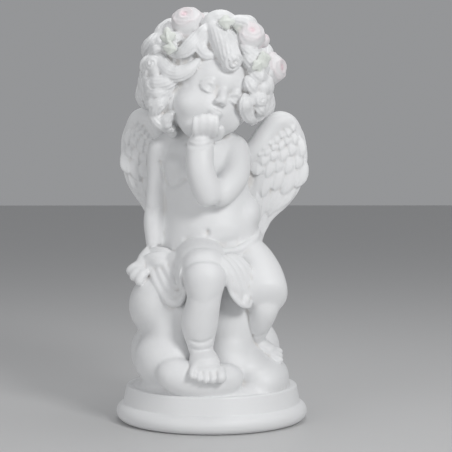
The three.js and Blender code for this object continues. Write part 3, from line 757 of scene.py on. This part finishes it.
# Each wing, as (x, z) seen from the front: its outline, the roll with its half-widths, and the lines
# that the outermost and innermost feathers follow.
RIGHT_WING = {
    "outline": [
        (30, 262), (44, 292), (57, 301), (65, 315), (73, 327), (85, 331), (97, 328), (107, 316), (115, 302),
        (119, 275), (115, 254), (109, 235), (97, 218), (85, 207), (72, 197), (64, 182), (60, 168), (40, 196),
    ],
    "roll": [
        (34, 268, 14), (56, 286, 15), (68, 304, 14), (80, 317, 14), (93, 316, 13), (104, 303, 10),
        (112, 284, 6),
    ],
    "outer": [(96, 318), (107, 300), (114, 276), (113, 256), (104, 232), (86, 212), (70, 194), (62, 170)],
    "inner": [(62, 292), (54, 272), (52, 250), (52, 222), (54, 196), (58, 172)],
}
LEFT_WING = {
    "outline": [
        (-34, 262), (-52, 296), (-62, 318), (-72, 334), (-86, 336), (-97, 330), (-105, 316), (-111, 300),
        (-112, 278), (-110, 262), (-105, 244), (-97, 230), (-89, 219), (-80, 206), (-60, 196), (-44, 206),
    ],
    "roll": [
        (-38, 268, 14), (-56, 290, 15), (-66, 310, 14), (-76, 322, 13), (-89, 322, 12), (-99, 308, 9),
        (-106, 288, 6),
    ],
    "outer": [(-90, 322), (-101, 306), (-107, 284), (-106, 260), (-98, 238), (-88, 222), (-78, 208)],
    "inner": [(-66, 296), (-60, 272), (-58, 246), (-58, 222), (-64, 202)],
}
# Each row from the bend to the tip: where its feathers start and end, how many, and how proud they stand.
FEATHER_ROWS = [
    (-0.02, 0.11, 6, 9.5),
    (0.03, 0.19, 6, 9.0),
    (0.09, 0.29, 5, 8.2),
    (0.17, 0.42, 5, 7.0),
    (0.28, 0.58, 4, 5.4),
    (0.42, 0.78, 5, 3.6),
    (0.55, 1.00, 6, 1.6),
]
# A feather's half-width as a share of its room, its outline from root to tip, and its least half-width.
FEATHER_SHARE = 0.66
FEATHER_OUTLINE = np.array((0.7, 0.9, 1.05, 1.1, 0.8))
FEATHER_LEAST = 3.2
QUILL = 1.2


def wing_depth(x):
    """How far back the blade's front lies: it sweeps back towards its tip."""
    return WING_ROOT_DEPTH + WING_SWEEP * (np.abs(x) - 40)


def wing(pile, form):
    """The blade, its rolled leading edge and its rows of feathers, each with a quill."""
    rim = along(form["outline"] + form["outline"][:1], np.linspace(0, 1, 73))[:-1]
    back = np.column_stack((rim[:, 0], wing_depth(rim[:, 0]) + BLADE_THICKNESS, rim[:, 1]))
    n = len(rim)
    walls = [[i, (i + 1) % n, n + (i + 1) % n, n + i] for i in range(n)]
    corners = np.vstack((back, back - (0, BLADE_THICKNESS, 0)))
    pile.append((corners, [list(range(n)), list(range(n, 2 * n))] + walls))
    roll = [(x, wing_depth(x) + 4, z, h) for x, z, h in form["roll"]]
    coil(pile, roll, flat=0.9, fullness=6, sides=24, rings=48)
    for row, (start, end, count, proud) in enumerate(FEATHER_ROWS):
        for i in range(count):
            side = (i + 0.5 + 0.25 * (-1) ** row) / count
            down = np.linspace(start, end - 0.14 * ((i + row) % 2) * (end - start), 5)
            inner = along(form["inner"], down)
            outer = along(form["outer"], down)
            spine = inner + (outer - inner) * side
            half = np.linalg.norm(outer - inner, axis=1) / count * FEATHER_SHARE
            half = np.maximum(half * FEATHER_OUTLINE, FEATHER_LEAST)
            # The three downy rows at the bend are carved on the front only.
            for face in (-1, 1) if row > 2 else (-1,):
                middle = wing_depth(spine[:, 0]) + (1 if face < 0 else BLADE_THICKNESS - 1)
                lift = face * proud * np.linspace(0.35, 1, 5)
                feather = list(zip(spine[:, 0], middle + lift, spine[:, 1], half))
                coil(pile, feather, flat=0.34, fullness=2.6, sides=16)
                ridge = middle + lift + face * half * 0.26
                coil(pile, list(zip(spine[:, 0], ridge, spine[:, 1], np.full(5, QUILL))), sides=8)


pile = []
for form in (RIGHT_WING, LEFT_WING):
    wing(pile, form)
wings = clay("wings", pile)

# Cloth
# A soft cloth lies over the lap, rolled at its hem above the knee, hangs in folds on both sides of it
# and is gathered under the hand. Places are followed by half-widths, as on the body.
LAP = [(-14, 6, 149, 33), (-12, -36, 149, 33.5), (-9, -70, 142, 29)]
BUNCH = [(-58, -20, 150, 12), (-32, -42, 152, 13), (-4, -48, 155, 13)]
# Rolls of cloth: swags hanging left of the knee, bunches by the hand, folds from the lap over the hip,
# a fan of folds hanging right of the knee with its hems, and a belt round the back.
FOLDS = [
    [(-72, -30, 146, 4), (-66, -46, 128, 5), (-52, -64, 109, 5.5), (-38, -74, 107, 5), (-29, -78, 122, 4)],
    [(-66, -30, 150, 4), (-59, -47, 133, 4.5), (-47, -63, 117, 5), (-36, -71, 116, 4.5), (-29, -75, 130, 4)],
    [
        (-60, -30, 152, 3.5), (-52, -46, 140, 4.5), (-42, -60, 126, 4.5),
        (-33, -67, 126, 4), (-28, -70, 138, 3.5),
    ],
    [(-55, -28, 154, 3.5), (-46, -44, 146, 4), (-38, -55, 136, 4), (-29, -62, 143, 3.5)],
    [(-84, -20, 151, 5), (-68, -30, 157, 6), (-50, -34, 154, 6)],
    [(-76, -26, 147, 5), (-64, -36, 150, 5.5), (-50, -40, 148, 5)],
    [(-80, -10, 156, 5), (-66, -20, 163, 5.5), (-48, -32, 162, 5)],
    [(2, -50, 160, 6), (30, -44, 158, 6), (52, -22, 170, 6), (59, 8, 184, 6)],
    [(0, -56, 166, 5), (28, -46, 165, 5), (50, -26, 176, 5), (57, 6, 190, 5)],
    [(4, -78, 158, 4), (15, -87, 146, 5), (20, -88, 132, 5.5), (24, -87, 119, 4.5)],
    [(8, -76, 162, 4), (21, -84, 146, 5), (29, -84, 127, 5.5), (34, -81, 110, 4.5)],
    [(12, -72, 163, 4), (27, -78, 147, 5), (36, -77, 125, 5.5), (43, -74, 104, 3.5)],
    [(16, -68, 164, 4), (32, -72, 150, 5), (40, -71, 134, 5.5), (45, -69, 117, 4)],
    [(20, -64, 164, 4), (36, -66, 153, 5), (43, -65, 142, 5), (46, -64, 130, 4)],
    [(18, -90, 126, 2.6), (26, -88, 114, 3), (35, -83, 105, 3.2), (44, -75, 103, 3), (46, -70, 112, 2.6)],
    [(40, -76, 112, 2.6), (45, -71, 118, 3), (48, -66, 128, 3.4), (47, -62, 132, 3)],
    [(58, 2, 187, 6), (44, 32, 180, 6), (2, 45, 172, 6), (-40, 33, 168, 6), (-56, 2, 164, 6)],
    [(57, 2, 180, 6), (44, 34, 172, 6), (2, 47, 163, 6), (-40, 35, 160, 6), (-56, 0, 158, 6)],
]
# Pads of clay that close the cloth by the hand, at the fan's tip and beside the knee.
CLOTH_PADS = [
    ((-66, -22, 149), (16, 14, 9)),
    ((-72, -27, 140), (9, 9, 13)),
    ((38, -78, 110), (7, 5, 8)),
    ((-32, -72, 134), (6, 8, 16)),
]
# The hem over the knee: rings behind each other, each a radius, how far back it lies and its half-width.
KNEE_HEM = [(28, 0, 2.2), (30, 6, 3), (32, 13, 3)]
HEM_CENTRE = Vector((-8.5, -80, 137))
HEM_TILT = 76
CLOTH_VOXEL = 1.4
CLOTH_SOFTENING = 2
pile = []
coil(pile, LAP, facing=(0, 0, 1), sides=32, rings=32)
coil(pile, BUNCH, sides=20)
for at, half in CLOTH_PADS:
    dab(pile, at, half)
for stations in FOLDS:
    coil(pile, stations, fullness=5)
for radius, back, thick in KNEE_HEM:
    hem = []
    for degrees in np.linspace(-30, 210, 12):
        angle = math.radians(degrees)
        spot = Vector((radius * math.cos(angle), radius * math.sin(angle), 0))
        spot.rotate(Euler((math.radians(HEM_TILT), 0, 0)))
        hem.append((*(HEM_CENTRE + spot + Vector((0, back, 0))), thick))
    coil(pile, hem, fullness=8, rings=60)
cloth = fused(clay("cloth", pile), CLOTH_VOXEL, CLOTH_SOFTENING)

# The casting
# The pieces of clay are pressed together, cast as one skin and set on the turned plinth. The roses'
# and leaves' corners are kept, to find them again on the cast and tint it there.
CAST_VOXEL = 1.05
FIGURE_TRIANGLES = 184000
rose_spots = KDTree(len(roses.data.vertices))
for vert in roses.data.vertices:
    rose_spots.insert(vert.co, vert.index)
rose_spots.balance()
leaf_spots = KDTree(len(leaves.data.vertices))
for vert in leaves.data.vertices:
    leaf_spots.insert(vert.co, vert.index)
leaf_spots.balance()
statue = joined("putto", [cloud, body, head, hair, roses, leaves, wings, cloth])
statue = fused(statue, CAST_VOXEL, 1)
thin = statue.modifiers.new("thin", "DECIMATE")
thin.ratio = min(1, FIGURE_TRIANGLES / (2 * len(statue.data.polygons)))
statue = baked(statue)
statue.data.transform(Matrix.Translation((0, 0, DRUM_HEIGHT)) @ Matrix.Scale(UNIT, 4))
plinth = bpy.data.objects.new("plinth", plinth_mesh)
bpy.context.collection.objects.link(plinth)
union = statue.modifiers.new("plinth", "BOOLEAN")
union.operation = "UNION"
union.solver = "MANIFOLD"
union.object = plinth
statue = baked(statue)
bpy.data.objects.remove(plinth)
statue.data.transform(Matrix.Scale(MM, 4))
statue.data.validate()
statue.data.shade_smooth()
print("triangles", sum(len(p.vertices) - 2 for p in statue.data.polygons))

# Finish
# The cast is left matt white, with a fine grain. Pale pink is brushed on the roses' hearts and petal
# edges and sage green on the leaves, by hand and very thin. The deepest creases are darkened brown:
# painted shade, with a little dust in it.
WHITE = (0.83, 0.835, 0.84, 1)
SHADE = (0.73, 0.735, 0.745, 1)
PINK = (0.8, 0.42, 0.5, 1)
SAGE = (0.6, 0.66, 0.55, 1)
# The brown of the painted shade in the creases, with a little dust in it.
CREASE_SHADE_AND_DUST = (0.42, 0.36, 0.3, 1)
TINT_REACH = 2.0
# How strongly each tone is laid on, in the order of painting.
TINTS = (("Shade", SHADE, 0.22), ("blush", PINK, 0.85), ("sage", SAGE, 0.5), ("crease", CREASE_SHADE_AND_DUST, 0.45))
# The whole garland lies above this height, so nothing below it is brushed.
GARLAND_FLOOR = 0.75 * FIGURE_HEIGHT * MM
CREASE_SHADE_GAIN = 4
CREASE_SHADE_START = 0.3
MOTTLE_SCALE = 22
PORE_SCALE = 900
PORE_DEPTH = 0.0003
SMOOTHEST = 0.42
ROUGHEST = 0.58


def painted(name, values):
    """Keeps a value for each corner of the cast as a named attribute."""
    statue.data.attributes.new(name, "FLOAT", "POINT").data.foreach_set("value", values)


count = len(statue.data.vertices)
places = np.empty(3 * count)
outs = np.empty(3 * count)
statue.data.vertices.foreach_get("co", places)
statue.data.vertices.foreach_get("normal", outs)
places = places.reshape(-1, 3)
outs = outs.reshape(-1, 3)
edges = np.empty(2 * len(statue.data.edges), int)
statue.data.edges.foreach_get("vertices", edges)
ends = edges.reshape(-1, 2).T
ways = np.bincount(ends.ravel(), minlength=count)


def spread(values):
    """Each corner's mean of its neighbours' values."""
    total = np.bincount(ends[0], values[ends[1]], count) + np.bincount(ends[1], values[ends[0]], count)
    return total / np.maximum(ways, 1)


# Painted shade with a little dust: the hollower a corner of the cast, the browner it is painted.
hollow = sum((spread(places[:, i]) - places[:, i]) * outs[:, i] for i in range(3)) / MM
for _ in range(2):
    hollow = spread(hollow)
hollow[places[:, 2] < (DRUM_HEIGHT + 1) * MM] = 0
painted("crease", np.clip(hollow * CREASE_SHADE_GAIN - CREASE_SHADE_START, 0, 1))
blush = np.zeros(count)
sage = np.zeros(count)
for i, place in enumerate(places):
    if place[2] < GARLAND_FLOOR:
        continue
    spot = (Vector(place) / MM - Vector((0, 0, DRUM_HEIGHT))) / UNIT
    _, index, gap = rose_spots.find(spot)
    blush[i] = rose_tints[index] * max(0, 1 - gap / TINT_REACH)
    sage[i] = max(0, 1 - leaf_spots.find(spot)[2] / TINT_REACH)
painted("blush", spread(blush))
painted("sage", spread(sage))

grain = bpy.data.node_groups.new("stone_grain", "ShaderNodeTree")
grain.interface.new_socket("Shade", in_out="OUTPUT", socket_type="NodeSocketFloat")
grain.interface.new_socket("Roughness", in_out="OUTPUT", socket_type="NodeSocketFloat")
grain.interface.new_socket("Normal", in_out="OUTPUT", socket_type="NodeSocketVector")
where = grain.nodes.new("ShaderNodeTexCoord")
mottle = grain.nodes.new("ShaderNodeTexNoise")
mottle.inputs["Scale"].default_value = MOTTLE_SCALE
mottle.inputs["Detail"].default_value = 5
pores = grain.nodes.new("ShaderNodeTexNoise")
pores.inputs["Scale"].default_value = PORE_SCALE
pores.inputs["Detail"].default_value = 3
shade = grain.nodes.new("ShaderNodeMapRange")
shade.inputs["From Min"].default_value = 0.35
shade.inputs["From Max"].default_value = 0.75
rough = grain.nodes.new("ShaderNodeMapRange")
rough.inputs["To Min"].default_value = SMOOTHEST
rough.inputs["To Max"].default_value = ROUGHEST
bump = grain.nodes.new("ShaderNodeBump")
bump.inputs["Strength"].default_value = 0.12
bump.inputs["Distance"].default_value = PORE_DEPTH
ends_out = grain.nodes.new("NodeGroupOutput")
for source, socket, target, name in (
    (where, "Object", mottle, "Vector"),
    (where, "Object", pores, "Vector"),
    (mottle, "Fac", shade, "Value"),
    (mottle, "Fac", rough, "Value"),
    (pores, "Fac", bump, "Height"),
    (shade, "Result", ends_out, "Shade"),
    (rough, "Result", ends_out, "Roughness"),
    (bump, "Normal", ends_out, "Normal"),
):
    grain.links.new(source.outputs[socket], target.inputs[name])

material = bpy.data.materials.new("cast_stone")
material.use_nodes = True
tree = material.node_tree
shader = tree.nodes["Principled BSDF"]
stone = tree.nodes.new("ShaderNodeGroup")
stone.node_tree = grain
tree.links.new(stone.outputs["Roughness"], shader.inputs["Roughness"])
tree.links.new(stone.outputs["Normal"], shader.inputs["Normal"])
colour = tree.nodes.new("ShaderNodeRGB")
colour.outputs[0].default_value = WHITE
colour = colour.outputs[0]
for name, tone, strength in TINTS:
    mix = tree.nodes.new("ShaderNodeMix")
    mix.data_type = "RGBA"
    amount = tree.nodes.new("ShaderNodeMath")
    amount.operation = "MULTIPLY"
    amount.inputs[1].default_value = strength
    if name == "Shade":
        tree.links.new(stone.outputs["Shade"], amount.inputs[0])
    else:
        brushed = tree.nodes.new("ShaderNodeAttribute")
        brushed.attribute_name = name
        tree.links.new(brushed.outputs["Fac"], amount.inputs[0])
    tree.links.new(amount.outputs[0], mix.inputs["Factor"])
    tree.links.new(colour, mix.inputs["A"])
    mix.inputs["B"].default_value = tone
    colour = mix.outputs["Result"]
tree.links.new(colour, shader.inputs["Base Color"])
statue.data.materials.clear()
statue.data.materials.append(material)
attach(statue, "root")
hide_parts("putto_statue")

# Studio
# The photograph's viewpoint, 1.8 m in front and a little above the middle, a pale floor and soft light:
# a key from the right, a weaker fill from the left and a light from above.
camera = bpy.data.objects.new("camera", bpy.data.cameras.new("camera"))
camera.data.lens = 118.3
camera.data.sensor_width = 36
camera.location = (0, -1.8, 0.338)
aim = Vector((0.0175, 0, 0.235))
camera.rotation_euler = (aim - camera.location).to_track_quat("-Z", "Y").to_euler()
bpy.context.collection.objects.link(camera)
bpy.context.scene.camera = camera

floor_mesh = bpy.data.meshes.new("floor")
floor_mesh.from_pydata([(-6, -6, 0), (6, -6, 0), (6, 6, 0), (-6, 6, 0)], [], [(0, 1, 2, 3)])
floor = bpy.data.objects.new("floor", floor_mesh)
bpy.context.collection.objects.link(floor)
floor_material = bpy.data.materials.new("pale_floor")
floor_material.use_nodes = True
floor_material.node_tree.nodes["Principled BSDF"].inputs["Base Color"].default_value = (0.6, 0.6, 0.6, 1)
floor.data.materials.append(floor_material)
floor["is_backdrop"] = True

for name, spot, size, power in (
    ("key", (1.0, -1.6, 1.2), 0.5, 19),
    ("fill", (-1.3, -1.6, 0.6), 1.2, 7.5),
    ("top", (0.1, 0.1, 1.7), 0.9, 7),
):
    light = bpy.data.objects.new(name, bpy.data.lights.new(name, "AREA"))
    light.data.size = size
    light.data.energy = power
    light.location = spot
    light.rotation_euler = (Vector((0, 0, 0.25)) - light.location).to_track_quat("-Z", "Y").to_euler()
    bpy.context.collection.objects.link(light)
bpy.context.scene.view_settings.view_transform = "Standard"
world = bpy.data.worlds.new("soft")
world.use_nodes = True
world.node_tree.nodes["Background"].inputs["Color"].default_value = (0.75, 0.76, 0.78, 1)
world.node_tree.nodes["Background"].inputs["Strength"].default_value = 0.4
bpy.context.scene.world = world

low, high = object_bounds()
